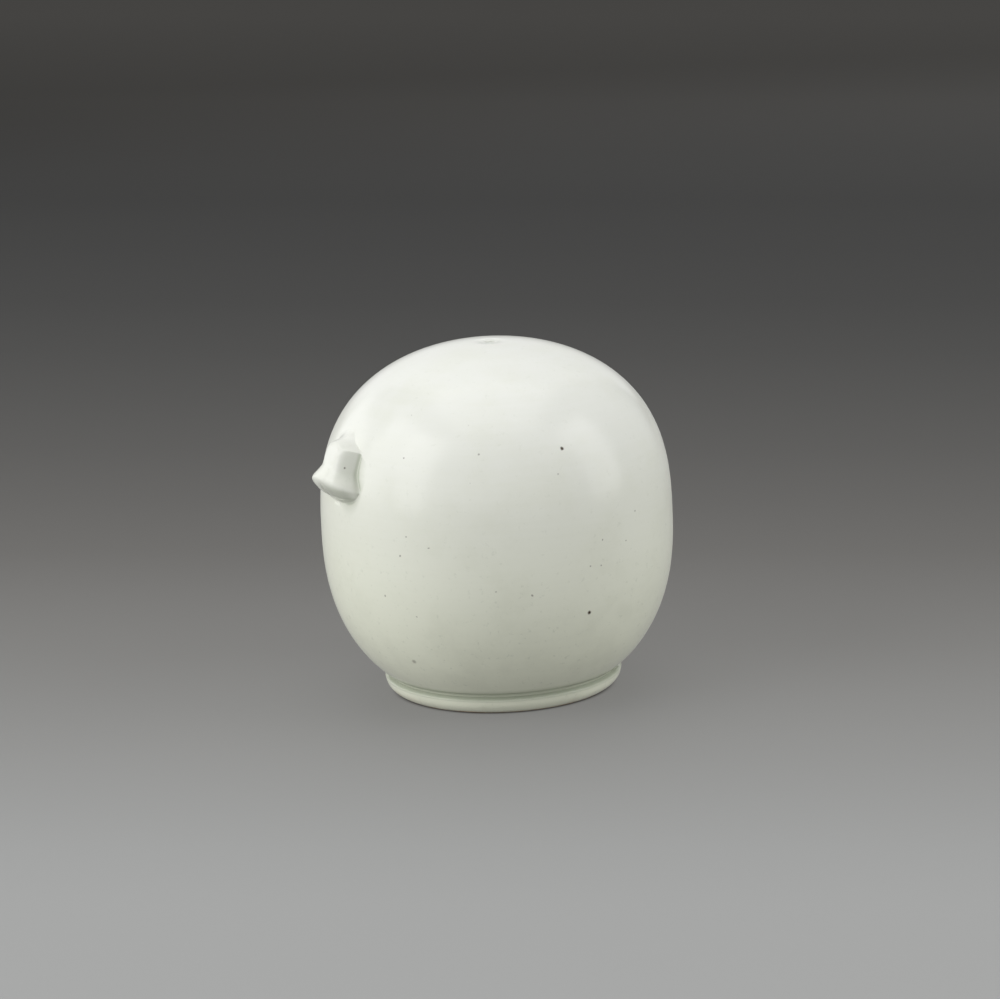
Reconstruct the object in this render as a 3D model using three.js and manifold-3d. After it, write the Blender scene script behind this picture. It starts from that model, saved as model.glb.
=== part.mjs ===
// A round porcelain water dropper: two thrown half shells, a turned foot ring and a small modelled spout,
// luted together with slip. Millimetres, +Z up. It stands on its foot ring, and the spout points along -X.
import * as THREE from 'three';
import { mergeVertices } from 'three/addons/utils/BufferGeometryUtils.js';
import Module from 'manifold-3d';

// Body: its widest circle, and the rounded outline above and below it
const bodyRadius = 50;
const bellyHeight = 48.2;
const crownHeight = 100;
const crownBulgeAcross = 2.09;
const crownBulgeUp = 2.73;
const bowlDepth = 51.9;
const bowlBulge = 2.37;
const wallThickness = 4.5;
const crownThickness = 4.2;
const floorThickness = 6.2;

// Air hole in the crown, in its shallow dip
const airHoleRadius = 1.4;
const dipRadius = 3.1;
const dipDepth = 0.5;

// Foot ring and the groove between it and the body
const footHeight = 5;
const footWidestRadius = 33.6;
const footWidestHeight = 4.2;
const footRimOuterRadius = 31.2;
const footRimWidth = 3.6;
const footInnerTaper = 1.6;
const footEdgeBevel = 0.5;
const neckRadius = 32.6;
const neckRounding = 0.7;

// Slip in the joints
const bellySlipThickness = 0.6;
const footSlipThickness = 0.4;
const spoutSlipThickness = 0.5;
const clearance = 0.3;

// Spout: the line down the middle of its front, as how far it stands out of the body, and how far
// below the spout's top
const spoutTopHeight = 76.6;
const spoutTop = { proud: 4.1, drop: 0 };
const spoutBrow = { proud: 4, drop: 3 };
const spoutSweep = { proud: 4.5, drop: 5.4 };
const spoutLip = { proud: 5.7, drop: 7.8 };
const spoutNose = { proud: 6.1, drop: 9.2 };
const spoutChin = { proud: 5.5, drop: 11.1 };
const spoutUnder = { proud: 3.2, drop: 13.4 };
const spoutHeel = { proud: 0, drop: 15.4 };
const spoutFrontHalfWidth = 4.4;
const spoutTopHalfWidth = 8.2;
const spoutLipHalfWidth = 10.6;
const spoutDroop = 2.6;
const spoutHeelRise = 3.2;
const spoutFlankFullness = 3.4;

// Pour channel, from under the nose up into the body
const channelRadius = 1.1;
const channelPitch = THREE.MathUtils.degToRad(28);
const channelMouth = { proud: 4.4, drop: 12.4 };

// Fineness of the round surfaces
const turnSides = 60;
const crownSteps = 13;
const bowlSteps = 11;
const spoutSteps = 18;
const spoutSideSteps = 14;
const channelSides = 12;
const edgeSteps = 4;
const wallSteps = 4;

const wasm = await Module();
wasm.setup();

const glaze = () => new THREE.MeshStandardMaterial({ color: 0xe3e8e2, roughness: 0.12, metalness: 0 });
const biscuit = () => new THREE.MeshStandardMaterial({ color: 0xcdbba4, roughness: 0.7, metalness: 0 });
const driedSlip = () => new THREE.MeshStandardMaterial({ color: 0xe4dfd3, roughness: 0.8, metalness: 0 });

// Outline of the crown's outer or inner face at turn t, from 0 at the belly to a right angle on the axis
function crownPoint(t, sideInset, topInset) {
  const radius = (bodyRadius - sideInset) * Math.cos(t) ** (2 / crownBulgeAcross);
  const rise = (crownHeight - bellyHeight - topInset) * Math.sin(t) ** (2 / crownBulgeUp);
  return new THREE.Vector2(radius, bellyHeight + rise);
}

function crownTurnAtRadius(radius, sideInset) {
  return Math.acos((radius / (bodyRadius - sideInset)) ** (crownBulgeAcross / 2));
}

function crownTurnAtHeight(height, topInset) {
  return Math.asin(((height - bellyHeight) / (crownHeight - bellyHeight - topInset)) ** (crownBulgeUp / 2));
}

function crownRadiusAt(height) {
  const share = (height - bellyHeight) / (crownHeight - bellyHeight);
  return bodyRadius * (1 - share ** crownBulgeUp) ** (1 / crownBulgeAcross);
}

const heightOf = ({ drop }) => spoutTopHeight - drop;
const reachOf = ({ proud, drop }) => crownRadiusAt(heightOf({ drop })) + proud;

// Outline of the bowl's outer or inner face, from 0 at the belly downwards
function bowlPoint(t, sideInset, floorInset) {
  const radius = (bodyRadius - sideInset) * Math.cos(t) ** (2 / bowlBulge);
  const drop = (bowlDepth - floorInset) * Math.sin(t) ** (2 / bowlBulge);
  return new THREE.Vector2(radius, bellyHeight - drop);
}

function bowlTurnAtHeight(height, floorInset) {
  return Math.asin(((bellyHeight - height) / (bowlDepth - floorInset)) ** (bowlBulge / 2));
}

function sampled(curve, from, to, steps) {
  return Array.from({ length: steps + 1 }, (_, i) => curve(from + ((to - from) * i) / steps));
}

// A closed outline turned about the vertical axis
function turned(outline) {
  return new THREE.LatheGeometry(outline, turnSides).rotateX(Math.PI / 2);
}

function toSolid(geometry) {
  const bare = geometry.index ? geometry.clone() : geometry;
  bare.deleteAttribute('normal');
  bare.deleteAttribute('uv');
  const merged = mergeVertices(bare, 1e-4);
  const corners = new Uint32Array(merged.index.array);
  const make = (triVerts) =>
    new wasm.Manifold(
      new wasm.Mesh({ numProp: 3, vertProperties: new Float32Array(merged.attributes.position.array), triVerts }),
    );
  const solid = make(corners);
  if (solid.volume() > 0) return solid;
  for (let i = 0; i < corners.length; i += 3) {
    [corners[i + 1], corners[i + 2]] = [corners[i + 2], corners[i + 1]];
  }
  return make(corners);
}

function toMesh(name, solid, material) {
  const { vertProperties, triVerts } = solid.getMesh();
  const geometry = new THREE.BufferGeometry();
  geometry.setAttribute('position', new THREE.BufferAttribute(vertProperties, 3));
  geometry.setIndex(new THREE.BufferAttribute(triVerts, 1));
  geometry.computeVertexNormals();
  const mesh = new THREE.Mesh(geometry, material);
  mesh.name = name;
  return mesh;
}

// Heights that the joints share
const crownRimHeight = bellyHeight + bellySlipThickness / 2;
const bowlRimHeight = bellyHeight - bellySlipThickness / 2;
const baseHeight = footHeight + footSlipThickness;
const floorHeight = baseHeight + floorThickness;
const spoutRootReach = crownRadiusAt(spoutTopHeight) - wallThickness;

// Upper half shell: dome with the air hole through its crown
function crownOutline() {
  const outer = sampled(
    (t) => crownPoint(t, 0, 0),
    crownTurnAtHeight(crownRimHeight, 0),
    crownTurnAtRadius(dipRadius, 0),
    crownSteps,
  );
  const dipEdge = outer[outer.length - 1];
  const dip = sampled(
    (u) => new THREE.Vector2(
      airHoleRadius + (dipRadius - airHoleRadius) * (1 - Math.sin(u)),
      dipEdge.y - dipDepth * (1 - Math.cos(u)),
    ),
    0,
    Math.PI / 2,
    edgeSteps,
  ).slice(1);
  const inner = sampled(
    (t) => crownPoint(t, wallThickness, crownThickness),
    crownTurnAtRadius(airHoleRadius, wallThickness),
    crownTurnAtHeight(crownRimHeight, crownThickness),
    crownSteps - 2,
  );
  return [...outer, ...dip, ...inner, outer[0].clone()];
}

// Lower half shell: bowl with a flat base that the foot is luted to
function bowlOutline() {
  const shoulder = baseHeight + neckRounding;
  const outer = sampled(
    (t) => bowlPoint(t, 0, 0),
    bowlTurnAtHeight(bowlRimHeight, 0),
    bowlTurnAtHeight(shoulder, 0),
    bowlSteps,
  );
  const edge = outer[outer.length - 1];
  const roundUnder = sampled(
    (u) => new THREE.Vector2(
      neckRadius + (edge.x - neckRadius) * Math.cos(u),
      shoulder - neckRounding * Math.sin(u),
    ),
    0,
    Math.PI / 2,
    edgeSteps,
  ).slice(1);
  const floorInset = bowlDepth - (bellyHeight - floorHeight);
  const inner = sampled(
    (t) => bowlPoint(t, wallThickness, floorInset),
    Math.PI / 2,
    bowlTurnAtHeight(bowlRimHeight, floorInset),
    bowlSteps,
  );
  inner[0].x = 0;
  return [...outer, ...roundUnder, new THREE.Vector2(0, baseHeight), ...inner, outer[0].clone()];
}

// Flat washer of slip, as wide as the joint that it fills
function washerOutline(innerRadius, outerRadius, low, high) {
  return [
    new THREE.Vector2(innerRadius, low),
    new THREE.Vector2(outerRadius, low),
    new THREE.Vector2(outerRadius, high),
    new THREE.Vector2(innerRadius, high),
    new THREE.Vector2(innerRadius, low),
  ];
}

const footRimInnerRadius = footRimOuterRadius - footRimWidth;
const footTopInnerRadius = footRimInnerRadius - footInnerTaper;

// Foot ring: a bulging wall outside, a soft edge over to the neck, and a tapering inside
function footOutline() {
  const wall = sampled(
    (u) => new THREE.Vector2(
      footRimOuterRadius + (footWidestRadius - footRimOuterRadius) * Math.sin(u),
      (footWidestHeight * u) / (Math.PI / 2),
    ),
    0,
    Math.PI / 2,
    wallSteps,
  );
  const overEdge = sampled(
    (u) => new THREE.Vector2(
      neckRadius + (footWidestRadius - neckRadius) * Math.cos(u),
      footWidestHeight + (footHeight - footWidestHeight) * Math.sin(u),
    ),
    0,
    Math.PI / 2,
    edgeSteps,
  ).slice(1);
  return [
    new THREE.Vector2(footTopInnerRadius, footHeight),
    new THREE.Vector2(footRimInnerRadius - footEdgeBevel, footEdgeBevel),
    new THREE.Vector2(footRimInnerRadius, 0),
    ...wall,
    ...overEdge,
    new THREE.Vector2(footTopInnerRadius, footHeight),
  ];
}

// The body's outside, grown by a distance, as one solid for cutting what is luted on it
function bodyOutside(grown) {
  const crown = sampled((t) => crownPoint(t, -grown, -grown), 0, Math.PI / 2, crownSteps);
  crown[crown.length - 1].x = 0;
  const bowl = sampled(
    (t) => bowlPoint(t, -grown, -grown),
    bowlTurnAtHeight(baseHeight, -grown),
    0,
    bowlSteps,
  ).slice(0, -1);
  return toSolid(turned([new THREE.Vector2(0, baseHeight), ...bowl, ...crown]));
}

// Spout block: sections stacked down the front line. At the top they have a flat front and straight
// flanks down to the root, and at the lip they are rounded. The rim and the nose droop towards the
// sides, and the heel rises to meet them.
function spoutBlock() {
  const line = [spoutTop, spoutBrow, spoutSweep, spoutLip, spoutNose, spoutChin, spoutUnder, spoutHeel];
  const frontLine = new THREE.SplineCurve(
    line.map((mark) => new THREE.Vector2(mark.proud, heightOf(mark))),
  ).getPoints(spoutSteps);
  const brow = heightOf(spoutBrow);
  const nose = heightOf(spoutNose);
  const shares = sampled((share) => share, -1, 1, spoutSideSteps);
  const sections = frontLine.map(({ x: proud, y: height }) => {
    const flare = THREE.MathUtils.smoothstep(brow - height, 0, brow - nose);
    const halfWidth = THREE.MathUtils.lerp(spoutTopHalfWidth, spoutLipHalfWidth, flare);
    const under = Math.max(nose - height, 0) / (nose - heightOf(spoutHeel));
    const point = (share, reachAt) => {
      const turn = (share * halfWidth) / bodyRadius;
      const droop = spoutDroop * ((share * halfWidth) / spoutLipHalfWidth) ** 2;
      const level = height - droop * (1 - under) + spoutHeelRise * share ** 6 * under;
      const reach = reachAt(level);
      return new THREE.Vector3(-reach * Math.cos(turn), reach * Math.sin(turn), level);
    };
    const front = shares.map((share) => {
      const faceted = ((1 - Math.abs(share)) * halfWidth) / (halfWidth - spoutFrontHalfWidth);
      const rounded = 1 - Math.abs(share) ** spoutFlankFullness;
      const flank = THREE.MathUtils.lerp(Math.min(faceted, 1), rounded, flare);
      return point(share, (level) => crownRadiusAt(level) + proud * flank);
    });
    return [point(-1, () => spoutRootReach), ...front, point(1, () => spoutRootReach)];
  });
  const sides = sections[0].length;
  const faces = [];
  sections.slice(1).forEach((_, level) => {
    for (let i = 0; i < sides; i += 1) {
      const a = level * sides + i;
      const b = level * sides + ((i + 1) % sides);
      faces.push(a, b, b + sides, a, b + sides, a + sides);
    }
  });
  const last = (sections.length - 1) * sides;
  for (let i = 1; i < sides - 1; i += 1) {
    faces.push(0, i + 1, i, last, last + i, last + i + 1);
  }
  const geometry = new THREE.BufferGeometry().setFromPoints(sections.flat());
  geometry.setIndex(faces);
  return toSolid(geometry);
}

// Slanting rod that cuts the pour channel through spout, slip and wall
function channelRod() {
  const length = reachOf(channelMouth) - spoutRootReach;
  const rod = new THREE.CylinderGeometry(channelRadius, channelRadius, 2 * length, channelSides);
  rod.rotateZ(Math.PI / 2 + channelPitch);
  rod.translate(-reachOf(channelMouth), 0, heightOf(channelMouth));
  return toSolid(rod);
}

const channel = channelRod();
const spoutRaw = spoutBlock();
const slipFace = clearance;
const spoutFace = 2 * clearance + spoutSlipThickness;

const waterDropper = new THREE.Group();

waterDropper.add(toMesh('upper_body', toSolid(turned(crownOutline())).subtract(channel), glaze()));
waterDropper.add(toMesh('lower_body', toSolid(turned(bowlOutline())), glaze()));

const bellySlip = washerOutline(bodyRadius - wallThickness, bodyRadius - clearance, bowlRimHeight, crownRimHeight);
waterDropper.add(toMesh('belly_slip', toSolid(turned(bellySlip)), driedSlip()));

waterDropper.add(toMesh('foot_ring', toSolid(turned(footOutline())), biscuit()));

const footSlip = washerOutline(footTopInnerRadius + clearance, neckRadius - clearance, footHeight, baseHeight);
waterDropper.add(toMesh('foot_slip', toSolid(turned(footSlip)), driedSlip()));

waterDropper.add(toMesh('spout', spoutRaw.subtract(bodyOutside(spoutFace)).subtract(channel), glaze()));
const spoutSlipShell = bodyOutside(slipFace + spoutSlipThickness).subtract(bodyOutside(slipFace));
waterDropper.add(toMesh('spout_slip', spoutRaw.intersect(spoutSlipShell).subtract(channel), driedSlip()));

// The origin is under the middle of the whole length, from the spout's nose to the far side of the belly
waterDropper.position.x = (reachOf(spoutNose) - bodyRadius) / 2;

export default waterDropper;
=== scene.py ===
import math
from random import Random

import bpy
from bpy.props import FloatProperty, FloatVectorProperty, IntProperty, PointerProperty
from mathutils import Matrix, Vector


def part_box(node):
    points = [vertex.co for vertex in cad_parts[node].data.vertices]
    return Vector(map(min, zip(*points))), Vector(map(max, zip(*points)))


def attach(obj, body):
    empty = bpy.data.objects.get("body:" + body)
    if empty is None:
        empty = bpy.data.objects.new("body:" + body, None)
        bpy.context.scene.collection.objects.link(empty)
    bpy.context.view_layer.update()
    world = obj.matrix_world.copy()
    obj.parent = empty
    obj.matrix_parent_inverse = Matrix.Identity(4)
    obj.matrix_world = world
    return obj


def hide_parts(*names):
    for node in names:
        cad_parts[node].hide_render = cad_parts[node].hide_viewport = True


bl_info = {
    "name": "Porcelain Water Dropper",
    "version": (1, 0, 0),
    "blender": (4, 5, 0),
    "location": "View3D > Sidebar > Water Dropper",
    "description": "Models a round glazed water dropper with a small spout on its shoulder",
    "category": "Add Mesh",
}

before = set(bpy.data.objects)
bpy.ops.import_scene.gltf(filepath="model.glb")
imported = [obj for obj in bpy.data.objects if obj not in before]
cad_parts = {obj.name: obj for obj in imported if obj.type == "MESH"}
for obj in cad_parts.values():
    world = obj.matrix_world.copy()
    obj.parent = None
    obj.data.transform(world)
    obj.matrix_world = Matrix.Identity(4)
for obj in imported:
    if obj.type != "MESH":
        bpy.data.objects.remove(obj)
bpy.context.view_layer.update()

MM = 0.001
QUARTER = math.pi / 2

# What the frame says of the pot. The foot's glaze makes it that much wider than its clay.
FOOT_GLAZE = 0.3 * MM
FOOT_LOW, FOOT_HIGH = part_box("foot_ring")
BOWL_LOW, BOWL_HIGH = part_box("lower_body")
CROWN_LOW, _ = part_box("upper_body")
AXIS = Vector(((FOOT_LOW[0] + FOOT_HIGH[0]) / 2, 0, 0))
BODY_RADIUS = (BOWL_HIGH[0] - BOWL_LOW[0]) / 2
FOOT_RADIUS = (FOOT_HIGH[0] - FOOT_LOW[0]) / 2 + FOOT_GLAZE
FOOT_HEIGHT = FOOT_HIGH[2]
BASE_HEIGHT = BOWL_LOW[2]
BELLY_HEIGHT = (BOWL_HIGH[2] + CROWN_LOW[2]) / 2

# Height that the camera and the lights aim at
BODY_MIDDLE = 50.6 * MM


class DropperSizes(bpy.types.PropertyGroup):
    """Shape of the body, the foot and the spout"""

    crown_rise: FloatProperty(name="Crown rise", description="From the widest circle up to the crown",
                              default=51.8 * MM, unit="LENGTH")
    crown_across: FloatProperty(name="Crown fullness across", description="Exponent of the crown's outline",
                                default=2.09)
    crown_up: FloatProperty(name="Crown fullness upwards", description="Exponent of the crown's outline",
                            default=2.73)
    bowl_drop: FloatProperty(name="Bowl drop", description="Depth of the lower outline's curve",
                             default=51.9 * MM, unit="LENGTH")
    bowl_fullness: FloatProperty(name="Bowl fullness", description="Exponent of the lower outline",
                                 default=2.37)
    wall: FloatProperty(name="Wall", description="Thickness of the wall", default=4.5 * MM, unit="LENGTH")
    base: FloatProperty(name="Base", description="Thickness of the base", default=6.2 * MM, unit="LENGTH")
    hole_radius: FloatProperty(name="Air hole", description="Radius of the air hole", default=1.4 * MM,
                               unit="LENGTH")
    dip_radius: FloatProperty(name="Dip", description="Radius of the dip round the air hole",
                              default=3.1 * MM, unit="LENGTH")
    dip_depth: FloatProperty(name="Dip depth", description="Depth of the dip", default=0.15 * MM,
                             unit="LENGTH")
    neck_radius: FloatProperty(name="Groove", description="Radius of the groove above the foot",
                               default=32.6 * MM, unit="LENGTH")
    neck_height: FloatProperty(name="Groove height", description="Body's edge above its base",
                               default=0.7 * MM, unit="LENGTH")
    rim_radius: FloatProperty(name="Foot rim", description="Outer radius of the foot's rim",
                              default=30.6 * MM, unit="LENGTH")
    rim_width: FloatProperty(name="Foot rim width", description="Width of the foot's flat rim",
                             default=3.0 * MM, unit="LENGTH")
    turn_steps: IntProperty(name="Turn steps", description="Sides of the turned surfaces", default=144)
    spout_top_half: FloatProperty(name="Spout top", description="Half width of the spout's root at its top",
                                  default=8.6 * MM, unit="LENGTH")
    spout_front_half: FloatProperty(name="Spout front", description="Half width of the spout's flat front",
                                    default=5.2 * MM, unit="LENGTH")
    spout_lean: FloatProperty(name="Spout lean", description="How much more one front corner stands out",
                              default=0.15)
    spout_lip_half: FloatProperty(name="Spout lip", description="Half width of the spout's root at its lip",
                                  default=10.9 * MM, unit="LENGTH")
    spout_droop: FloatProperty(name="Spout droop", description="How far rim and lip hang at the sides",
                               default=2.6 * MM, unit="LENGTH")
    heel_rise: FloatProperty(name="Heel rise", description="How far the spout's heel climbs at the sides",
                             default=3.7 * MM, unit="LENGTH")
    channel_radius: FloatProperty(name="Pour channel", description="Radius of the pour channel",
                                  default=1.1 * MM, unit="LENGTH")
    channel_pitch: FloatProperty(name="Channel pitch", description="Climb of the channel, in degrees",
                                 default=28.0)


class GlazeLook(bpy.types.PropertyGroup):
    """Colours and gloss of the fired pot"""

    glaze: FloatVectorProperty(name="Glaze", description="Bluish-white glaze", subtype="COLOR", size=3,
                               default=(0.775, 0.785, 0.745))
    run_down: FloatVectorProperty(name="Low glaze", description="Glaze low down, where it has run thicker",
                                  subtype="COLOR", size=3, default=(0.765, 0.785, 0.65))
    # This colour serves both for glaze that lies thick and for painted shade at the spout, in the groove and
    # on the foot
    pooled: FloatVectorProperty(name="Pooled glaze", description="Glaze where it lies thick",
                                subtype="COLOR", size=3, default=(0.45, 0.48, 0.39))
    biscuit: FloatVectorProperty(name="Bare clay", description="Bare clay of the foot's rim",
                                 subtype="COLOR", size=3, default=(0.50, 0.36, 0.22))
    speck: FloatVectorProperty(name="Specks", description="Iron specks in the glaze", subtype="COLOR",
                               size=3, default=(0.055, 0.035, 0.02))
    gloss: FloatProperty(name="Roughness", description="Roughness of the glaze", default=0.19)
    shine: FloatProperty(name="Shine", description="Strength of the glaze's reflections", default=0.25)


class StageLook(bpy.types.PropertyGroup):
    """Camera, floor and lights"""

    azimuth: FloatProperty(name="Azimuth", description="Camera's place round the pot, in degrees",
                           default=-27.0)
    elevation: FloatProperty(name="Elevation", description="Camera's height above the horizon, in degrees",
                             default=13.71)
    distance: FloatProperty(name="Distance", description="Camera to the body's middle", default=1.13,
                            unit="LENGTH")
    box_distance: FloatProperty(name="Soft boxes", description="Soft boxes to the body's middle",
                                default=1.2, unit="LENGTH")
    lens: FloatProperty(name="Lens", description="Focal length in millimetres", default=143.0)
    roll: FloatProperty(name="Roll", description="Camera's roll in degrees", default=2.5)
    floor_glow: FloatProperty(name="Floor glow", description="Share of the floor's light from within it",
                              default=0.72)


# Shader values


class Wire:
    """A value between shader nodes. Python sums and products of such values add Math nodes."""

    def __init__(self, painter, socket):
        self.painter, self.socket = painter, socket

    def math(self, operation, *others):
        return self.painter.calc(operation, self, *others)

    def __add__(self, other):
        return self.math("ADD", other)

    def __sub__(self, other):
        return self.math("SUBTRACT", other)

    def __rsub__(self, other):
        return self.painter.calc("SUBTRACT", other, self)

    def __mul__(self, other):
        return self.math("MULTIPLY", other)

    def __truediv__(self, other):
        return self.math("DIVIDE", other)

    def __pow__(self, other):
        return self.math("POWER", other)

    def __abs__(self):
        return self.math("ABSOLUTE")

    __radd__ = __add__
    __rmul__ = __mul__


class Painter:
    """Builds the nodes of one material"""

    def __init__(self, name):
        self.material = bpy.data.materials.new(name)
        self.material.use_nodes = True
        self.tree = self.material.node_tree
        self.tree.nodes.clear()

    def node(self, kind, settings=None, inputs=None, output=0):
        """Adds a node, sets it up, fills or links its inputs and gives one of its outputs."""
        made = self.tree.nodes.new(kind)
        for key, value in (settings or {}).items():
            if key == "stops":
                self.set_stops(made.color_ramp, value)
            else:
                setattr(made, key, value)
        for key, value in (inputs or {}).items():
            if isinstance(value, Wire):
                self.tree.links.new(value.socket, made.inputs[key])
            else:
                made.inputs[key].default_value = value
        return Wire(self, made.outputs[output]) if made.outputs else None

    @staticmethod
    def set_stops(ramp, stops):
        while len(ramp.elements) < len(stops):
            ramp.elements.new(1.0)
        for element, (place, colour) in zip(ramp.elements, stops):
            element.position = place
            element.color = (*colour, 1.0)

    def calc(self, operation, *values):
        return self.node("ShaderNodeMath", {"operation": operation}, dict(enumerate(values)))

    def mix(self, share, first, second):
        """Mixes two colours."""
        ends = [value if isinstance(value, Wire) else (*value, 1.0) for value in (first, second)]
        inputs = {0: share, 6: ends[0], 7: ends[1]}
        return self.node("ShaderNodeMix", {"data_type": "RGBA"}, inputs, output=2)

    def smooth(self, value, low, high):
        """Rises smoothly from 0 at low to 1 at high, or falls where low is the higher."""
        if low > high:
            return 1 - self.smooth(value, high, low)
        return self.node("ShaderNodeMapRange", {"interpolation_type": "SMOOTHSTEP"},
                         {"Value": value, "From Min": low, "From Max": high})

    def noise(self, place, scale, detail=2.0, rough=0.5):
        return self.node("ShaderNodeTexNoise", {}, {"Vector": place, "Scale": scale, "Detail": detail,
                                                    "Roughness": rough})

    def place(self):
        """Object coordinates, measured from the pot's axis on the table."""
        raw = self.node("ShaderNodeTexCoord", {}, {}, output=3)
        return self.node("ShaderNodeVectorMath", {"operation": "SUBTRACT"}, {0: raw, 1: AXIS[:]})

    def parts(self, vector):
        split = self.node("ShaderNodeSeparateXYZ", {}, {"Vector": vector})
        made = split.socket.node
        return [Wire(self, made.outputs[i]) for i in range(3)]

    def vector(self, x, y, z):
        return self.node("ShaderNodeCombineXYZ", {}, {"X": x, "Y": y, "Z": z})

    def distance(self, vector, point):
        return self.node("ShaderNodeVectorMath", {"operation": "DISTANCE"}, {0: vector, 1: point}, output=1)

    def jittered(self, vector, scale, amount):
        """The vector, moved about by a soft noise."""
        cloud = self.node("ShaderNodeTexNoise", {}, {"Vector": vector, "Scale": scale, "Detail": 1.0},
                          output=1)
        centred = self.node("ShaderNodeVectorMath", {"operation": "SUBTRACT"}, {0: cloud, 1: (0.5,) * 3})
        scaled = self.node("ShaderNodeVectorMath", {"operation": "SCALE"}, {0: centred, "Scale": amount})
        return self.node("ShaderNodeVectorMath", {"operation": "ADD"}, {0: vector, 1: scaled})

    def surface(self, colour, roughness, height=None, bump=0.1 * MM, **fixed):
        """Ends the material in a Principled shader, with a bump from the height."""
        inputs = {"Base Color": colour, "Roughness": roughness}
        if height is not None:
            inputs["Normal"] = self.node("ShaderNodeBump", {}, {"Height": height, "Strength": 1.0,
                                                                "Distance": bump})
        shader = self.node("ShaderNodeBsdfPrincipled", {}, inputs)
        for key, value in fixed.items():
            socket = shader.socket.node.inputs[key.replace("_", " ")]
            if isinstance(value, Wire):
                self.tree.links.new(value.socket, socket)
            else:
                socket.default_value = value
        self.node("ShaderNodeOutputMaterial", {}, {"Surface": shader})
        return self.material


# Glaze

# Iron specks: degrees round from the spout towards the front, height and radius in mm, and depth from 0 to 1
DARK_SPECKS = (
    (87.4, 77.3, 0.65, 1.00), (93.1, 30.9, 0.80, 1.00), (28.1, 17.2, 0.95, 0.45), (30.3, 49.3, 0.45, 0.60),
    (23.0, 37.2, 0.40, 0.56), (73.1, 38.3, 0.40, 0.60), (57.6, 77.5, 0.42, 0.56), (30.0, 75.9, 0.40, 0.60),
    (84.3, 71.0, 0.42, 0.35), (98.1, 51.1, 0.38, 0.56), (97.2, 44.0, 0.36, 0.52), (93.2, 44.5, 0.36, 0.52),
    (113.1, 56.7, 0.38, 0.52), (107.9, 49.2, 0.36, 0.52), (61.6, 39.9, 0.30, 0.45),
    (34.5, 32.1, 0.32, 0.45), (54.7, 70.2, 0.28, 0.20), (32.8, 55.0, 0.30, 0.50), (40.6, 52.3, 0.30, 0.50),
    (27.4, 86.3, 0.30, 0.25), (53.3, 84.5, 0.30, 0.20),
)
# Specks that the photograph doesn't show: how many, and the ranges of the same four values
HIDDEN_SPECKS = 26
SCATTER_SEED = 11
SCATTER_RANGES = ((143, 313), (14, 88), (0.22, 0.5), (0.3, 0.8))
# How far a speck's edge wanders and at how fine a scale, its dark core as a share of it, and its sink
SPECK_WOBBLE, WOBBLE_SCALE, SPECK_CORE, SPECK_SINK = 0.5 * MM, 900.0, 0.35, 0.1
# The one speck on the spout: its place, then where it starts, where it is full and how dark it is
SPOUT_SPECK, SPOUT_SPECK_SHADE = (-49.98 * MM, -6.8 * MM, 71.7 * MM), (0.4 * MM, 0.1 * MM, 0.75)
SPOUT_SPECK_WOBBLE = 0.3 * MM

# Noises: scale, detail and roughness
CLOUDS, RINGS, MOTTLES = (60.0, 4.0, 0.62), (900.0, 2.0), (650.0, 3.0, 0.6)
RIPPLE, PEEL, UNEVEN = (55.0, 1.0), (420.0, 2.0), (120.0, 2.0)
RAGGED, BLUSH, GRAIN, CLAY_GRAIN = (160.0, 4.0, 0.6), (70.0, 3.0), (1400.0, 2.0), (1400.0, 3.0)
SLIP_CLOUDS, SLIP_GRAIN, PAPER_GRAIN = (300.0, 4.0), (900.0, 3.0), (700.0, 3.0)

# Glaze: heights over which it turns green and gets its clouds, noise values that count as cloud or mottle,
# how far wheel marks stretch round the pot, and how deep all of them are
RUN_SPAN, LOW_SPAN, LOW_SHARE = (98 * MM, 8 * MM), (75 * MM, 15 * MM), 0.6
CLOUD_SPAN, MOTTLE_SPAN, RING_STRETCH = (0.42, 0.72), (0.60, 0.74), 0.04
CLOUD_DEPTH, WHEEL_DEPTH, MOTTLE_DEPTH, DEEP_SHARE = 0.45, 0.18, 0.30, 0.86
RIPPLE_DEPTH, PEEL_DEPTH, UNEVEN_DEPTH = 0.75, 0.05, 0.05


def body_radius_at(sizes, height):
    """Outer radius of the body at a height."""
    if height >= BELLY_HEIGHT:
        share = ((height - BELLY_HEIGHT) / sizes.crown_rise) ** sizes.crown_up
        return BODY_RADIUS * max(1 - share, 0) ** (1 / sizes.crown_across)
    share = ((BELLY_HEIGHT - height) / sizes.bowl_drop) ** sizes.bowl_fullness
    return BODY_RADIUS * max(1 - share, 0) ** (1 / sizes.bowl_fullness)


def hidden_specks():
    """Specks scattered over the side that the photograph doesn't show."""
    scatter = Random(SCATTER_SEED)
    for _ in range(HIDDEN_SPECKS):
        yield tuple(scatter.uniform(*ends) for ends in SCATTER_RANGES)


def speck_mask(painter, place, sizes):
    """How dark the specks make a place, from 0 to 1."""
    wobbly = painter.jittered(place, WOBBLE_SCALE, SPECK_WOBBLE)
    total = None
    for around, height, radius, depth in (*DARK_SPECKS, *hidden_specks()):
        turn = math.radians(around - 90)
        reach = body_radius_at(sizes, height * MM)
        centre = (reach * math.sin(turn), -reach * math.cos(turn), height * MM)
        away = painter.distance(wobbly, centre)
        mask = painter.smooth(away, radius * MM, radius * SPECK_CORE * MM) * depth
        total = mask if total is None else total.math("MAXIMUM", mask)
    return total


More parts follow.
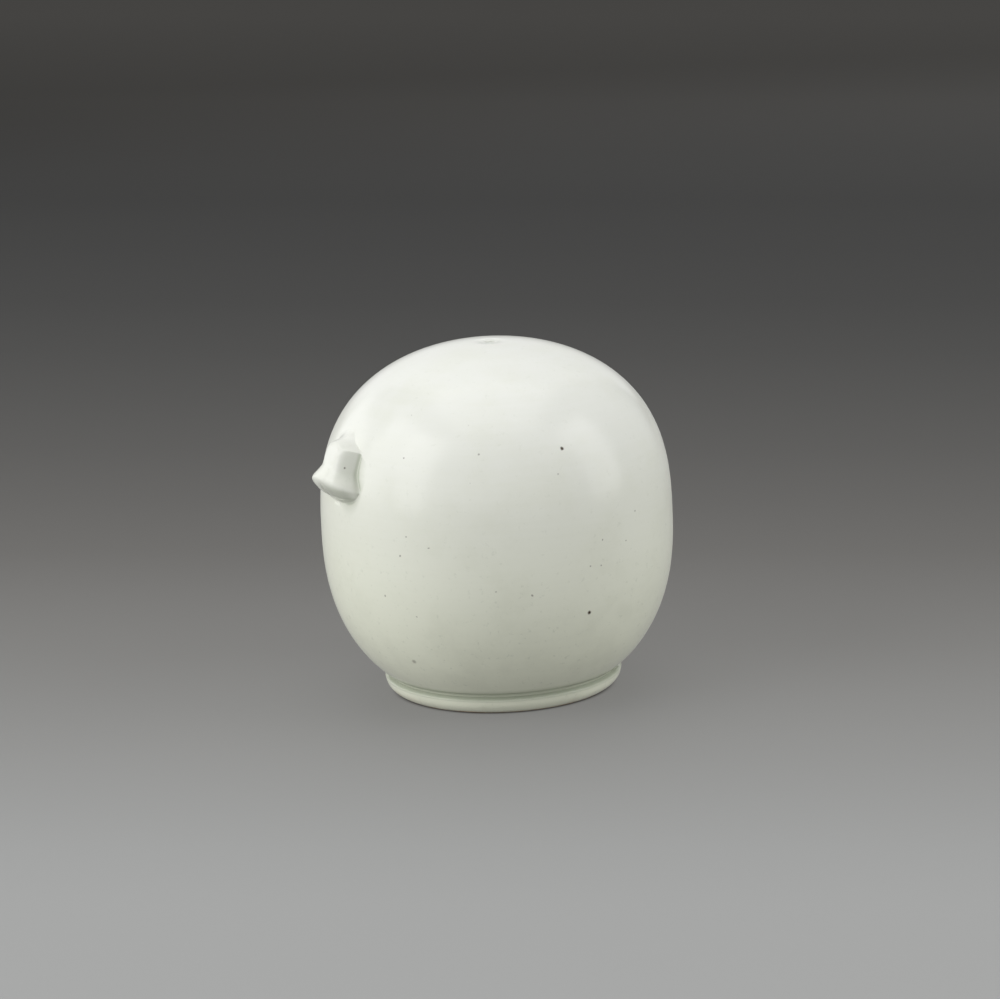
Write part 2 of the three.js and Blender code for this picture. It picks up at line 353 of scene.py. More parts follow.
def glaze_colour(painter, place, look):
    """White glaze, greener where it has run down, with faint clouds, wheel marks and mottles."""
    x, y, height = painter.parts(place)
    colour = painter.mix(painter.smooth(height, *RUN_SPAN), tuple(look.glaze), tuple(look.run_down))
    clouds = painter.smooth(painter.noise(place, *CLOUDS), *CLOUD_SPAN)
    low = painter.smooth(height, *LOW_SPAN) * LOW_SHARE + (1 - LOW_SHARE)
    rings = painter.noise(painter.vector(x * RING_STRETCH, y * RING_STRETCH, height), *RINGS)
    shade = clouds * low * CLOUD_DEPTH + rings * WHEEL_DEPTH
    colour = painter.mix(shade, colour, tuple(channel * DEEP_SHARE for channel in look.run_down))
    mottles = painter.smooth(painter.noise(place, *MOTTLES), *MOTTLE_SPAN) * low
    return painter.mix(mottles * MOTTLE_DEPTH, colour, tuple(look.pooled))


def skin_height(painter, place):
    """Height of the glaze's skin: a slow ripple and a fine orange peel."""
    return painter.noise(place, *RIPPLE) * RIPPLE_DEPTH + painter.noise(place, *PEEL) * PEEL_DEPTH


# Root of the spout on the body: height in mm, and half its width there in mm
ROOT_WIDTHS = ((58.0, 9.6), (62.1, 10.2), (63.5, 10.5), (64.7, 11.0), (66.8, 10.3), (68.8, 9.2), (70.9, 8.8),
               (73.1, 8.6), (74.6, 8.5), (75.3, 8.0), (75.9, 6.6), (76.4, 5.0), (77.4, 1.0))

# How the distance from the root is counted above the rim and below the heel. The painted shadow lies under
# the
# near side of the heel: the far side counts as further off, from NEAR_END across to FAR_END.
HEEL_SHARPNESS = 6.0
ABOVE_GAIN, ABOVE_START = 6.0, 4.5 * MM
BELOW_GAIN, BELOW_START, BELOW_FAR = 0.9, 0.5 * MM, 3.5 * MM
NEAR_END, FAR_END = -6 * MM, 1 * MM

# Painted shade and pooled glaze: from where it starts to where it is full, and how deep. Round the spout's
# root there is a tight line and a wide painted shade, over the groove a painted shade, and round the air
# hole pooled glaze.
ROOT_LINE, ROOT_SHADE = (1.3 * MM, 0.2 * MM, 0.7), (4.5 * MM, 0.0, 0.42)
DIP_SHADE, CROWN_SPAN = (4.2 * MM, 1.5 * MM, 0.12), (90 * MM, 96 * MM)
GROOVE_SHADE = (BASE_HEIGHT + 2.6 * MM, BASE_HEIGHT + 0.1 * MM, 0.7)
GLAZE_BUMP, CLAY_BUMP, SLIP_BUMP = 0.12 * MM, 0.15 * MM, 0.08 * MM


def spout_root_distance(painter, x, y, height, sizes):
    """About how far a place on the body lies outside the spout's root."""
    low, high, widest = ROOT_WIDTHS[0][0], ROOT_WIDTHS[-1][0], max(half for _, half in ROOT_WIDTHS)
    stops = [((z - low) / (high - low), (half / widest,) * 3) for z, half in ROOT_WIDTHS]
    share = (height - low * MM) / ((high - low) * MM)
    half = painter.node("ShaderNodeValToRGB", {"stops": stops}, {"Fac": share}) * (widest * MM)
    side = abs(painter.calc("ARCTAN2", y, x * -1.0)) * BODY_RADIUS
    out = side / sizes.spout_lip_half
    above = height + out * out * ((1 + ARCH) * sizes.spout_droop) - SPOUT_TOP
    below = out ** HEEL_SHARPNESS * sizes.heel_rise - height + SPOUT_HEEL
    above = above * ABOVE_GAIN + ABOVE_START
    below = below * BELOW_GAIN + painter.smooth(y, NEAR_END, FAR_END) * BELOW_FAR + BELOW_START
    return (side - half).math("MAXIMUM", above).math("MAXIMUM", below)


def shaded(painter, value, start, full, depth):
    return painter.smooth(value, start, full) * depth


def uneven_gloss(painter, place, look):
    return (painter.noise(place, *UNEVEN) - 0.5) * UNEVEN_DEPTH + look.gloss


def paint_body(sizes, look):
    painter = Painter("body_glaze")
    place = painter.place()
    x, y, height = painter.parts(place)
    colour = glaze_colour(painter, place, look)
    around_hole = (x * x + y * y).math("SQRT")
    dip = shaded(painter, around_hole, *DIP_SHADE) * painter.smooth(height, *CROWN_SPAN)
    # Painted shade low on the body over the groove, where it overhangs the foot, with pooled glaze there
    groove = shaded(painter, height, *GROOVE_SHADE)
    beside = spout_root_distance(painter, x, y, height, sizes)
    # Painted shade round the spout's root and under its lip, with pooled glaze in the crease itself
    crevice = shaded(painter, beside, *ROOT_LINE) + shaded(painter, beside, *ROOT_SHADE)
    pooled = dip.math("MAXIMUM", groove).math("MAXIMUM", crevice)
    colour = painter.mix(pooled, colour, tuple(look.pooled))
    specks = speck_mask(painter, place, sizes)
    colour = painter.mix(specks, colour, tuple(look.speck))
    height_map = skin_height(painter, place) - specks * SPECK_SINK
    return painter.surface(colour, uneven_gloss(painter, place, look), height_map, bump=GLAZE_BUMP,
                           Specular_IOR_Level=look.shine)


def paint_spout(look):
    painter = Painter("spout_glaze")
    place = painter.place()
    colour = glaze_colour(painter, place, look)
    # Painted shade and pooled glaze, as the spout's mesh carries them
    pooled = painter.node("ShaderNodeAttribute", {"attribute_name": "pooled"}, {}, output=2)
    colour = painter.mix(pooled, colour, tuple(look.pooled))
    away = painter.distance(painter.jittered(place, WOBBLE_SCALE, SPOUT_SPECK_WOBBLE), SPOUT_SPECK)
    colour = painter.mix(shaded(painter, away, *SPOUT_SPECK_SHADE), colour, tuple(look.speck))
    return painter.surface(colour, uneven_gloss(painter, place, look), skin_height(painter, place),
                           bump=GLAZE_BUMP, Specular_IOR_Level=look.shine)


# The foot's glaze: heights where it ends in a ragged line, where clay blushes through, and where it darkens
# under the body with pooled glaze and painted shade
BARE_EDGE, BARE_RAGGED = (0.55 * MM, 0.25 * MM), 1.2 * MM
BLUSH_SPAN, BLUSH_DEPTH = (3.6 * MM, 0.8 * MM), 0.3
FOOT_SHADE_AND_POOL = (3.4 * MM, 4.8 * MM)

# Bare clay and slip: noise values that count as blush, grit or cloud, colours, and how rough they are
BLUSH_NOISE, GRIT_NOISE, SLIP_NOISE = (0.52, 0.68), (0.60, 0.70), (0.4, 0.6)
GRIT, GRIT_DEPTH, SLIP_COLOURS = (0.14, 0.10, 0.07), 0.6, ((0.66, 0.62, 0.55), (0.74, 0.72, 0.66))
CLAY_ROUGHNESS, SLIP_ROUGHNESS = 0.6, (0.6, 0.2)


def paint_foot(look):
    painter = Painter("foot_glaze_and_biscuit")
    place = painter.place()
    _, _, height = painter.parts(place)
    ragged = painter.noise(place, *RAGGED)
    bare = painter.smooth(height + (ragged - 0.5) * BARE_RAGGED, *BARE_EDGE)
    blushed = painter.smooth(painter.noise(place, *BLUSH), *BLUSH_NOISE)
    blushed = blushed * painter.smooth(height, *BLUSH_SPAN) * BLUSH_DEPTH
    glaze = painter.mix(blushed, glaze_colour(painter, place, look), tuple(look.biscuit))
    # Painted shade and pooled glaze on the top of the foot, under the body's overhang
    glaze = painter.mix(painter.smooth(height, *FOOT_SHADE_AND_POOL), glaze, tuple(look.pooled))
    grit = painter.smooth(painter.noise(place, *GRAIN), *GRIT_NOISE)
    clay = painter.mix(grit * GRIT_DEPTH, tuple(look.biscuit), GRIT)
    colour = painter.mix(bare, glaze, clay)
    roughness = bare * CLAY_ROUGHNESS + look.gloss
    skin = painter.noise(place, *CLAY_GRAIN) * bare + skin_height(painter, place)
    return painter.surface(colour, roughness, skin, bump=CLAY_BUMP, Specular_IOR_Level=look.shine)


def paint_slip():
    painter = Painter("fired_slip")
    place = painter.place()
    clouds = painter.noise(place, *SLIP_CLOUDS)
    colour = painter.mix(painter.smooth(clouds, *SLIP_NOISE), *SLIP_COLOURS)
    least, more = SLIP_ROUGHNESS
    return painter.surface(colour, clouds * more + least, painter.noise(place, *SLIP_GRAIN), bump=SLIP_BUMP)


# Mesh making


def fresh_start():
    """Leaves edit mode and selects nothing."""
    if bpy.context.object and bpy.context.object.mode != "OBJECT":
        bpy.ops.object.mode_set(mode="OBJECT")
    bpy.ops.object.select_all(action="DESELECT")


def steps(curve, start, end, count):
    return [curve(start + (end - start) * i / count) for i in range(count + 1)]


def spline(points, share):
    """Point at a share of the way along a smooth line through the points."""
    last = len(points) - 1
    place = min(max(share, 0.0), 1.0) * last
    at = min(int(place), last - 1)
    t = place - at
    four = (points[min(max(at + k, 0), last)] for k in (-1, 0, 1, 2))
    return [0.5 * (2 * b + (c - a) * t + (2 * a - 5 * b + 4 * c - d) * t ** 2
                   + (3 * b - a - 3 * c + d) * t ** 3) for a, b, c, d in zip(*four)]


WELD = 0.004 * MM


def turned_piece(name, outline, turn_steps):
    """Draws an outline of (radius, height) from one point by extrusion and spins it round the axis."""
    fresh_start()
    radius, height = outline[0]
    bpy.ops.mesh.primitive_plane_add(size=MM, location=AXIS + Vector((radius, 0, height)))
    piece = bpy.context.object
    piece.name = piece.data.name = name
    bpy.ops.object.transform_apply(location=True, rotation=True, scale=True)
    bpy.ops.object.mode_set(mode="EDIT")
    bpy.ops.mesh.merge(type="CENTER")
    bpy.ops.mesh.select_mode(type="VERT")
    bpy.ops.mesh.select_all(action="SELECT")
    for (r0, z0), (r1, z1) in zip(outline, outline[1:]):
        bpy.ops.mesh.extrude_region_move(TRANSFORM_OT_translate={"value": (r1 - r0, 0, z1 - z0)})
    bpy.ops.mesh.select_all(action="SELECT")
    bpy.ops.mesh.spin(steps=turn_steps, angle=math.tau, center=AXIS, axis=(0, 0, 1))
    bpy.ops.mesh.select_all(action="SELECT")
    bpy.ops.mesh.remove_doubles(threshold=WELD)
    bpy.ops.mesh.normals_make_consistent(inside=False)
    bpy.ops.object.mode_set(mode="OBJECT")
    bpy.ops.object.shade_smooth()
    return piece


def apply_modifier(piece, kind, **settings):
    modifier = piece.modifiers.new(kind.title(), kind)
    for key, value in settings.items():
        setattr(modifier, key, value)
    bpy.context.view_layer.objects.active = piece
    bpy.ops.object.modifier_apply(modifier=modifier.name)


def finish_piece(piece, material, slot, *nodes):
    """Gives a piece its material, hangs it under the root and hides the parts that it replaces."""
    piece.data.materials.clear()
    piece.data.materials.append(material)
    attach(piece, "root")
    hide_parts(*nodes)


# The body goes down round the foot's slip in a thin skirt. The dip round the air hole has soft sides.
SKIRT, SKIRT_GAP = 0.25 * MM, 0.02 * MM
DIP_SOFTNESS = 1.6

# Steps of the outlines: inside, outside, the dip and the groove, and the foot's lower edge
INNER_STEPS, OUTER_STEPS, SMALL_STEPS, EDGE_STEPS = 20, 36, 8, 4


def body_outline(sizes):
    """From the floor's middle up the inside, out through the air hole, down the outside to the base."""
    rise, drop = sizes.crown_rise, sizes.bowl_drop

    def crown(inset):
        def point(t):
            return ((BODY_RADIUS - inset) * math.cos(t) ** (2 / sizes.crown_across),
                    BELLY_HEIGHT + (rise - inset) * math.sin(t) ** (2 / sizes.crown_up))
        return point

    def bowl(inset, depth):
        def point(t):
            return ((BODY_RADIUS - inset) * math.cos(t) ** (2 / sizes.bowl_fullness),
                    BELLY_HEIGHT - depth * math.sin(t) ** (2 / sizes.bowl_fullness))
        return point

    def crown_turn(radius, inset):
        return math.acos((radius / (BODY_RADIUS - inset)) ** (sizes.crown_across / 2))

    shoulder = BASE_HEIGHT + sizes.neck_height
    low_turn = math.asin(((BELLY_HEIGHT - shoulder) / drop) ** (sizes.bowl_fullness / 2))
    inner_depth = BELLY_HEIGHT - BASE_HEIGHT - sizes.base
    inner_bowl = steps(bowl(sizes.wall, inner_depth), QUARTER, 0, INNER_STEPS)
    inner_bowl[0] = (0.0, inner_bowl[0][1])
    hole_turn = crown_turn(sizes.hole_radius, sizes.wall)
    inner_crown = steps(crown(sizes.wall), 0, hole_turn, INNER_STEPS)[1:]
    outer_crown = steps(crown(0), crown_turn(sizes.dip_radius, 0), 0, OUTER_STEPS)
    edge_radius, edge_height = outer_crown[0]

    def dip(t):
        spread = (edge_radius - sizes.hole_radius) * math.sin(t)
        return sizes.hole_radius + spread, edge_height - sizes.dip_depth * math.cos(t) ** DIP_SOFTNESS

    outer_bowl = steps(bowl(0, drop), 0, low_turn, OUTER_STEPS)[1:]
    last_radius = outer_bowl[-1][0]
    skirt = FOOT_HEIGHT + SKIRT_GAP

    def groove(t):
        return (last_radius - (last_radius - sizes.neck_radius) * math.sin(t),
                skirt + (shoulder - skirt) * math.cos(t))

    return [*inner_bowl, *inner_crown, *steps(dip, 0, QUARTER, SMALL_STEPS)[:-1], *outer_crown,
            *outer_bowl, *steps(groove, 0, QUARTER, SMALL_STEPS)[1:], (sizes.neck_radius - SKIRT, skirt),
            (sizes.neck_radius - SKIRT, BASE_HEIGHT), (0.0, BASE_HEIGHT)]


# Outside of the foot: share of the way out from rim to widest circle, and share of its height
FOOT_WALL = ((0.0, 0.0), (0.16, 0.04), (0.36, 0.12), (0.55, 0.22), (0.71, 0.34), (0.83, 0.46), (0.92, 0.61),
             (0.98, 0.77), (1.0, 0.86), (0.88, 0.93), (0.72, 0.97))
INNER_TAPER, RIM_EDGE = 1.6 * MM, 0.45 * MM


def foot_outline(sizes):
    """A closed ring: bulging wall outside, soft edge over to the groove, flat rim, sloping inside."""
    outer, inner = sizes.rim_radius, sizes.rim_radius - sizes.rim_width
    top_inner = inner - INNER_TAPER

    def heel(t):
        return inner - RIM_EDGE * math.sin(t), RIM_EDGE * (1 - math.cos(t))

    def bulge(share):
        out, up = spline(FOOT_WALL, share)
        return outer + (FOOT_RADIUS - outer) * out, FOOT_HEIGHT * up

    ring = [(top_inner, FOOT_HEIGHT), *reversed(steps(heel, 0, QUARTER, EDGE_STEPS)),
            *steps(bulge, 0, 1, OUTER_STEPS), (sizes.neck_radius, FOOT_HEIGHT)]
    return [*ring, ring[0]]


class OBJECT_OT_dropper_body(bpy.types.Operator):
    """Models the hollow body as one glazed shell with its air hole"""

    bl_idname = "object.dropper_body"
    bl_label = "Body"

    def execute(self, context):
        sizes = context.scene.dropper_sizes
        body = turned_piece("glazed_body", body_outline(sizes), sizes.turn_steps)
        finish_piece(body, paint_body(sizes, context.scene.glaze_look), "white_glaze", "upper_body",
                     "lower_body", "belly_slip")
        return {"FINISHED"}


class OBJECT_OT_dropper_foot(bpy.types.Operator):
    """Models the foot ring"""

    bl_idname = "object.dropper_foot"
    bl_label = "Foot ring"

    def execute(self, context):
        sizes = context.scene.dropper_sizes
        foot = turned_piece("turned_foot_ring", foot_outline(sizes), sizes.turn_steps)
        finish_piece(foot, paint_foot(context.scene.glaze_look), "foot_biscuit", "foot_ring")
        return {"FINISHED"}


# The spout's middle line, from the body down over rim, nose and heel, as height and reach, in mm
SPOUT_LINE = ((80.8, -0.12), (80.4, 0.0), (79.8, 0.12), (79.2, 0.4), (78.7, 0.85), (78.3, 1.5), (78.0, 2.3),
              (77.75, 3.2), (77.5, 4.0), (77.1, 4.55), (76.4, 4.8), (75.4, 4.85), (74.3, 4.85), (73.3, 4.87),
              (72.4, 4.95), (71.4, 5.2), (70.6, 5.7), (69.8, 6.25), (69.1, 6.7), (68.4, 6.85), (67.8, 6.75),
              (67.1, 6.4), (66.4, 5.95), (65.7, 5.4), (65.0, 4.75), (64.3, 4.1), (63.7, 3.45), (63.1, 2.7),
              (62.55, 1.85), (62.05, 1.05), (61.65, 0.45), (61.3, 0.12), (61.0, 0.0), (60.7, -0.12))
SPOUT_TOP, SPOUT_BROW, SPOUT_NOSE, SPOUT_HEEL = 77.4 * MM, 71.8 * MM, 67.4 * MM, 61.2 * MM
SPOUT_GRID = 90, 120

# The skin goes on past the root by a share of its half width and sinks into the body there, over a span of
# such shares. Its back lies at a depth inside the wall.
SPOUT_SKIRT, SPOUT_SUNK, SUNK_SPAN, SPOUT_DEPTH = 1.09, 0.12 * MM, (1.03, 1.09), 1.6 * MM

# The rim hangs more than the lip by a share. Its roof is flat on the near side, where side is negative.
ARCH, ARCH_SPAN = 0.35, (70.5 * MM, 76.0 * MM)
ROOF_FLATNESS, ROOF_SPAN = 0.92, (1.5 * MM, -4.5 * MM)

# The flanks have soft corners at the top and are round at the lip, and spread a little at the root
CORNER_SOFTNESS, LIP_ROUNDNESS, ROUND_SPAN = 0.35, 3.4, (74.0 * MM, 69.0 * MM)
FILLET, FILLET_START, FILLET_END = 0.05, (0.85, 0.975), (1.07, 0.97)

# Painted shade and pooled glaze on the spout: depth at the root above and at the lip, painted shade on the
# wall, and painted shade with pooled glaze under the nose
ROOT_SHADE_AND_POOL, LIP_SHADE_AND_POOL, WALL_SHADE, NOSE_SHADE_AND_POOL = 0.95, 0.5, 0.3, (0.05, 0.62)
ROOT_WIDTH, ROOT_PROUD, WALL_SPAN = 0.06, 3 * MM, 1.5 * MM
RIM_SPAN = SPOUT_TOP + 0.2 * MM, SPOUT_TOP - 0.3 * MM
NOSE_SPAN, NOSE_SIDES = (SPOUT_NOSE + 1.3 * MM, SPOUT_NOSE - 1.3 * MM), (2.5 * MM, -4.5 * MM)
NOSE_EDGE = (1.0, 0.75)

# Pour channel: how far its mouth stands out and its height, the cutter's length, and its sides
CHANNEL_MOUTH, CHANNEL_REACH, CHANNEL_SIDES = (4.7 * MM, 65.0 * MM), 20 * MM, 24


def eased(value, low=0.0, high=1.0):
    """Rises smoothly from 0 at low to 1 at high, or falls where low is the higher."""
    value = min(max((value - low) / (high - low), 0.0), 1.0)
    return value * value * (3 - 2 * value)


def soft_ramp(value, softness):
    """0 below zero and the value itself above it, with a rounded bend of the given softness."""
    if abs(value) >= softness:
        return max(value, 0.0)
    return (value + softness) ** 2 / (4 * softness)


def blend(first, second, share):
    return first + (second - first) * share


class OBJECT_OT_dropper_spout(bpy.types.Operator):
    """Models the spout: a flat-fronted lug with soft corners, a drooping lip and a pour channel"""

    bl_idname = "object.dropper_spout"
    bl_label = "Spout"

    def execute(self, context):
        sizes = context.scene.dropper_sizes
        fresh_start()
        bpy.ops.mesh.primitive_grid_add(x_subdivisions=SPOUT_GRID[0], y_subdivisions=SPOUT_GRID[1], size=1.0)
        spout = bpy.context.object
        spout.name = spout.data.name = "modelled_spout"
        bpy.ops.object.mode_set(mode="EDIT")
        bpy.ops.mesh.select_all(action="SELECT")
        bpy.ops.mesh.extrude_region_move(TRANSFORM_OT_translate={"value": (0, 0, 1.0)})
        bpy.ops.object.mode_set(mode="OBJECT")
        pooled = spout.data.attributes.new("pooled", "FLOAT", "POINT")
        for vertex in spout.data.vertices:
            share, down, front = vertex.co.x * 2 * SPOUT_SKIRT, 0.5 - vertex.co.y, vertex.co.z > 0.5
            vertex.co, pooled.data[vertex.index].value = self.shaped(sizes, share, down, front)
        bpy.ops.object.mode_set(mode="EDIT")
        bpy.ops.mesh.select_all(action="SELECT")
        bpy.ops.mesh.normals_make_consistent(inside=False)
        bpy.ops.object.mode_set(mode="OBJECT")
        self.cut_channel(sizes, spout, bpy.data.objects["glazed_body"])
        fresh_start()
        spout.select_set(True)
        bpy.context.view_layer.objects.active = spout
        bpy.ops.object.shade_smooth()
        finish_piece(spout, paint_spout(context.scene.glaze_look), "white_glaze", "spout",
                     "spout_slip")
        return {"FINISHED"}

    @staticmethod
    def shaped(sizes, share, down, front):
        """Place of a point of the spout's skin, and how dark it is painted there: pooled glaze and painted
        shade at the root and under the nose, painted shade on the side wall.
        """
        height, proud = (value * MM for value in spline(SPOUT_LINE, down))
        flare = eased(height, SPOUT_BROW, SPOUT_NOSE)
        under = min(max((SPOUT_NOSE - height) / (SPOUT_NOSE - SPOUT_HEEL), 0.0), 1.0)
        half = blend(sizes.spout_top_half, sizes.spout_lip_half, flare)
        side, nearness = share * half, abs(share)
        beyond_front = abs(side) - sizes.spout_front_half

        arch = 1 + ARCH * eased(height, *ARCH_SPAN)
        droop = arch * sizes.spout_droop * (side / sizes.spout_lip_half) ** 2
        rounding = 1 - math.sqrt(1 - min(nearness, 1.0) ** 3)
        level = height - droop * (1 - under) + sizes.heel_rise * rounding * under
        level -= max(height - SPOUT_TOP, 0.0) * ROOF_FLATNESS * eased(side, *ROOF_SPAN)

        faceted = max(1 - soft_ramp(beyond_front / (half - sizes.spout_front_half), CORNER_SOFTNESS), 0.0)
        rounded = 1 - min(nearness, 1.0) ** LIP_ROUNDNESS
        flank = blend(faceted, rounded, eased(height, *ROUND_SPAN))
        fillet = FILLET * eased(nearness, *FILLET_END) * eased(nearness, *FILLET_START)
        lean = 1 - sizes.spout_lean * side / sizes.spout_front_half * (1 - flare)
        raised = max(proud, 0.0) * lean * math.hypot(flank, fillet) + min(proud, 0.0)
        sunk = SPOUT_SUNK * eased(nearness, *SUNK_SPAN)
        reach = body_radius_at(sizes, level) + (raised - sunk if front else -SPOUT_DEPTH)
        turn = side / BODY_RADIUS
        place = AXIS + Vector((-reach * math.cos(turn), reach * math.sin(turn), level))
        if not front:
            return place, 0.0

        # Painted shade and pooled glaze in the crease along the root
        root = math.exp(-((nearness - 1.0) / ROOT_WIDTH) ** 2) * min(max(proud, 0.0) / ROOT_PROUD, 1.0)
        root *= blend(ROOT_SHADE_AND_POOL, LIP_SHADE_AND_POOL, flare)
        # Painted shade on the side wall, which faces away from the main lights
        wall = WALL_SHADE * eased(beyond_front, 0.0, WALL_SPAN) * (1 - flare)
        # Painted shade under the nose, deeper on the near side, with pooled glaze there
        nose = eased(height, *NOSE_SPAN) * eased(nearness, *NOSE_EDGE)
        nose *= blend(*NOSE_SHADE_AND_POOL, eased(side, *NOSE_SIDES))
        return place, max(max(root, wall) * eased(height, *RIM_SPAN), nose)

    @staticmethod
    def cut_channel(sizes, *pieces):
        """Bores the pour channel from under the nose through the wall."""
        proud, height = CHANNEL_MOUTH
        mouth = AXIS - Vector((body_radius_at(sizes, height) + proud, 0, -height))
        turn = (0, QUARTER + math.radians(sizes.channel_pitch), 0)
        fresh_start()
        bpy.ops.mesh.primitive_cylinder_add(vertices=CHANNEL_SIDES, radius=sizes.channel_radius,
                                            depth=CHANNEL_REACH, location=mouth, rotation=turn)
        rod = bpy.context.object
        for piece in pieces:
            apply_modifier(piece, "BOOLEAN", operation="DIFFERENCE", object=rod, solver="EXACT")
        bpy.data.objects.remove(rod)


class OBJECT_OT_dropper_slip(bpy.types.Operator):
    """Paints the slip that shows nowhere but at the joints"""

    bl_idname = "object.dropper_slip"
    bl_label = "Slip"

    def execute(self, context):
        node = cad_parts["foot_slip"]
        node.data.materials.clear()
        node.data.materials.append(paint_slip())
        return {"FINISHED"}


# Paper floor: it glows, and its greys, given at distances in metres behind the pot, paint the light and
# shade that fall across it. The camera leans, so the shades fan out from a far point on the floor, given as
# metres behind the pot and to its right, to run level in the picture.
FLOOR_NEAR, FLOOR_FAR = 0.4, 1.8
FLOOR_GREYS = ((-0.26, 0.308), (-0.19, 0.299), (-0.15, 0.280), (-0.066, 0.222), (0.034, 0.163),
               (0.153, 0.0995), (0.222, 0.0775), (0.30, 0.0577), (0.385, 0.0428), (0.48, 0.029),
               (0.59, 0.0185), (0.72, 0.0141), (0.86, 0.0131), (1.03, 0.0255), (1.22, 0.0450), (1.65, 0.063))
FAN_BEHIND, FAN_RIGHT = -1.18, 7.51
WARM_SPAN, WARM_GREEN, WARM_BLUE = (-0.15, 0.15), (1.01, 0.97), (1.0, 0.91)

# What glossy surfaces see of the floor, how strongly it glows, and where its glow gives way to a painted
# contact shadow under and round the foot
FLOOR_REFLECTED = (0.30, 0.30, 0.29)
GLOW_STRENGTH, CONTACT_SHADOW_SPAN = 1.14, (30.2 * MM, 32.7 * MM)
FLOOR_RADIUS, FLOOR_SIDES = 9.0, 96
PAPER_ROUGHNESS, PAPER_BUMP = 0.75, 0.02 * MM
BLACK, ROOM_GREY = (0.0, 0.0, 0.0), (0.02, 0.02, 0.02, 1.0)

# Soft boxes: degrees round from the camera's side, degrees up, width and height in metres, watts
SOFT_BOXES = (
    ("left_front_box", -58, 25, 0.54, 1.12, 7.5),
    ("left_box", -87, 25, 0.58, 1.12, 4.8),
    ("right_front_box", 48, 25, 0.54, 1.12, 1.3),
    ("right_box", 77, 25, 0.58, 1.12, 6.9),
    ("right_back_box", 120, 25, 1.16, 1.12, 1.8),
    ("left_back_box", -130, 8, 0.80, 0.80, 2.3),
    ("top_box", 0, 88, 1.10, 1.10, 5.2),
    ("top_back_box", 180, 60, 1.20, 0.70, 2.2),
    ("front_box", -5, 13, 1.90, 0.47, 3.0),
    ("back_box", 180, 25, 1.26, 0.87, 2.5),
)


def floor_stops():
    """Stops of the paper's ramp, warmer with the distance."""
    stops = []
    for behind, grey in FLOOR_GREYS:
        warmth = min(max((behind - WARM_SPAN[0]) / (WARM_SPAN[1] - WARM_SPAN[0]), 0.0), 1.0)
        colour = (grey, grey * blend(*WARM_GREEN, warmth), grey * blend(*WARM_BLUE, warmth))
        stops.append(((behind + FLOOR_NEAR) / (FLOOR_NEAR + FLOOR_FAR), colour))
    return stops


def direction(around, up):
    """Away from the pot, by degrees round from its front and degrees up."""
    turn, climb = math.radians(around), math.radians(up)
    return Vector((math.sin(turn) * math.cos(climb), -math.cos(turn) * math.cos(climb), math.sin(climb)))


# The picture's size, where in it the body's middle lies, and the camera's sensor and clipping
PICTURE, PICTURE_AIM = (1000, 999), (496.6, 511.0)
SENSOR_WIDTH, CLIP = 36.0, (0.05, 50.0)


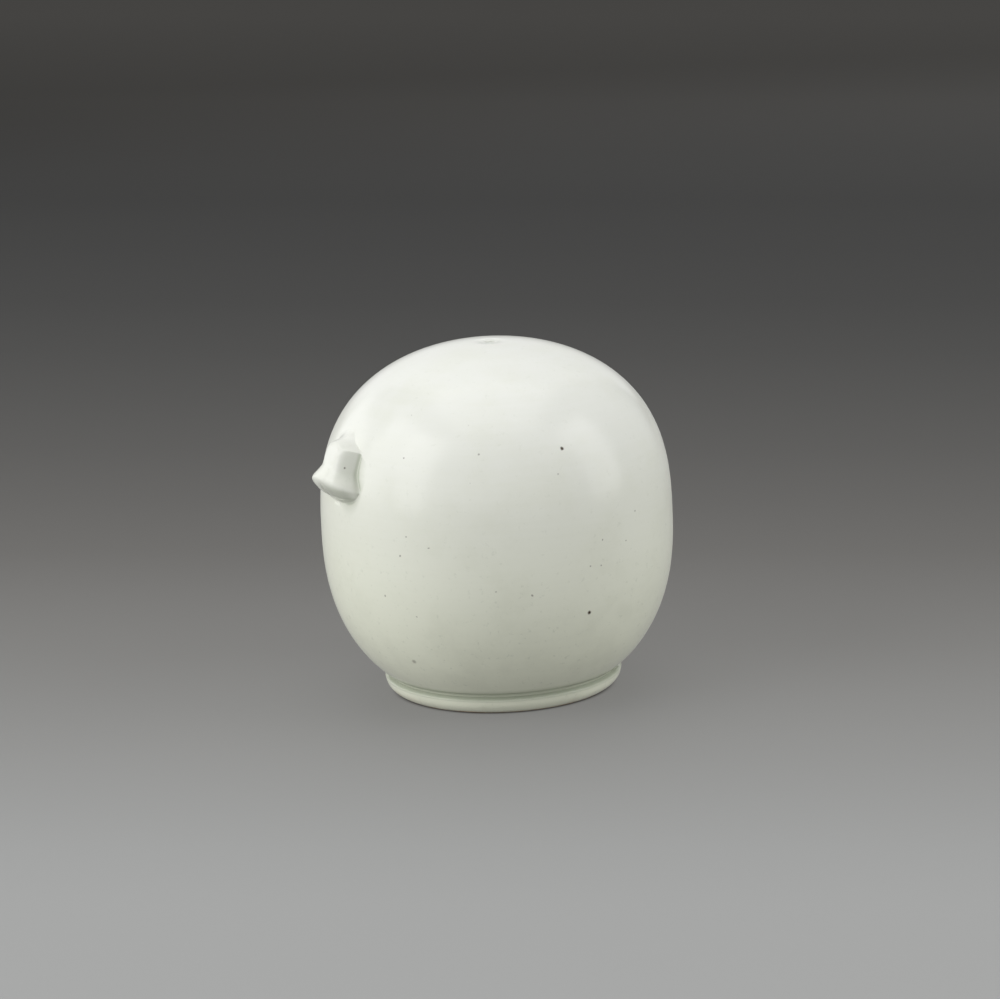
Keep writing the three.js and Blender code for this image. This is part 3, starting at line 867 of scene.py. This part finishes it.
class OBJECT_OT_dropper_stage(bpy.types.Operator):
    """Sets up the floor, the lights and the camera"""

    bl_idname = "object.dropper_stage"
    bl_label = "Stage"

    def execute(self, context):
        look = context.scene.stage_look
        self.floor(look)
        self.lights(context, look)
        self.camera(context, look)
        context.scene.view_settings.view_transform = "Standard"
        return {"FINISHED"}

    @staticmethod
    def floor(look):
        fresh_start()
        bpy.ops.mesh.primitive_circle_add(vertices=FLOOR_SIDES, radius=FLOOR_RADIUS, fill_type="NGON")
        floor = bpy.context.object
        floor.name = floor.data.name = "floor"
        painter = Painter("floor_paper")
        place = painter.place()
        x, y, _ = painter.parts(place)
        turn = math.radians(look.azimuth)
        behind = y * math.cos(turn) - x * math.sin(turn)
        right = x * math.cos(turn) + y * math.sin(turn)
        level = behind + (behind - FAN_BEHIND) * right / FAN_RIGHT
        share = (level + FLOOR_NEAR) / (FLOOR_NEAR + FLOOR_FAR)
        colour = painter.node("ShaderNodeValToRGB", {"stops": floor_stops()}, {"Fac": share})
        from_axis = (x * x + y * y).math("SQRT")
        # Painted contact shadow: the floor's glow is off under the foot and fades in just past its rim
        outside_contact_shadow = painter.smooth(from_axis, *CONTACT_SHADOW_SPAN)
        # Most of the floor's light is a painted glow, which keeps the pot's shadow on it faint
        paper = painter.mix(look.floor_glow, colour, BLACK)
        mirrored = painter.node("ShaderNodeLightPath", {}, {}, output=3)
        glow = painter.mix(mirrored, colour, FLOOR_REFLECTED)
        glow = painter.mix(outside_contact_shadow, BLACK, glow)
        grain = painter.noise(place, *PAPER_GRAIN)
        floor.data.materials.append(painter.surface(paper, PAPER_ROUGHNESS, grain, bump=PAPER_BUMP,
                                                    Emission_Color=glow,
                                                    Emission_Strength=GLOW_STRENGTH * look.floor_glow))

    @staticmethod
    def lights(context, look):
        """Soft boxes that stand round the pot and face its middle."""
        target = AXIS + Vector((0, 0, BODY_MIDDLE))
        for name, around, up, width, tall, power in SOFT_BOXES:
            towards = direction(look.azimuth + around, up)
            lamp = bpy.data.lights.new(name, "AREA")
            lamp.shape, lamp.size, lamp.size_y, lamp.energy = "RECTANGLE", width, tall, power
            holder = bpy.data.objects.new(name, lamp)
            context.scene.collection.objects.link(holder)
            holder.matrix_world = Matrix.LocRotScale(target + towards * look.box_distance,
                                                     (-towards).to_track_quat("-Z", "Y"), None)
        world = bpy.data.worlds.new("room")
        world.use_nodes = True
        world.node_tree.nodes["Background"].inputs["Color"].default_value = ROOM_GREY
        context.scene.world = world

    @staticmethod
    def camera(context, look):
        """Camera at the photographed view, with the body's middle just off the frame's middle."""
        back = direction(look.azimuth, look.elevation)
        target = AXIS + Vector((0, 0, BODY_MIDDLE))
        data = bpy.data.cameras.new("camera")
        data.lens, data.sensor_width = look.lens, SENSOR_WIDTH
        data.clip_start, data.clip_end = CLIP
        camera = bpy.data.objects.new("camera", data)
        context.scene.collection.objects.link(camera)
        roll = Matrix.Rotation(math.radians(-look.roll), 3, "Z").to_quaternion()
        aim = (-back).to_track_quat("-Z", "Y") @ roll
        camera.matrix_world = Matrix.LocRotScale(target + back * look.distance, aim, None)
        data.shift_x = (PICTURE[0] / 2 - PICTURE_AIM[0]) / PICTURE[0]
        data.shift_y = (PICTURE_AIM[1] - PICTURE[1] / 2) / PICTURE[0]
        context.scene.camera = camera


class VIEW3D_PT_water_dropper(bpy.types.Panel):
    """Lists the pot's pieces and the stage"""

    bl_label = "Water Dropper"
    bl_space_type = "VIEW_3D"
    bl_region_type = "UI"
    bl_category = "Water Dropper"

    def draw(self, context):
        for operator in OPERATORS:
            self.layout.operator(operator.bl_idname)
        for group in (context.scene.dropper_sizes, context.scene.glaze_look, context.scene.stage_look):
            for name in group.__annotations__:
                self.layout.prop(group, name)


OPERATORS = (OBJECT_OT_dropper_body, OBJECT_OT_dropper_foot, OBJECT_OT_dropper_spout,
             OBJECT_OT_dropper_slip, OBJECT_OT_dropper_stage)
CLASSES = (DropperSizes, GlazeLook, StageLook, *OPERATORS, VIEW3D_PT_water_dropper)


def register():
    for cls in CLASSES:
        bpy.utils.register_class(cls)
    bpy.types.Scene.dropper_sizes = PointerProperty(type=DropperSizes)
    bpy.types.Scene.glaze_look = PointerProperty(type=GlazeLook)
    bpy.types.Scene.stage_look = PointerProperty(type=StageLook)


def unregister():
    del bpy.types.Scene.stage_look, bpy.types.Scene.glaze_look, bpy.types.Scene.dropper_sizes
    for cls in reversed(CLASSES):
        bpy.utils.unregister_class(cls)


def main():
    register()
    bpy.ops.object.dropper_body()
    bpy.ops.object.dropper_foot()
    bpy.ops.object.dropper_spout()
    bpy.ops.object.dropper_slip()
    bpy.ops.object.dropper_stage()


if __name__ == "__main__":
    main()
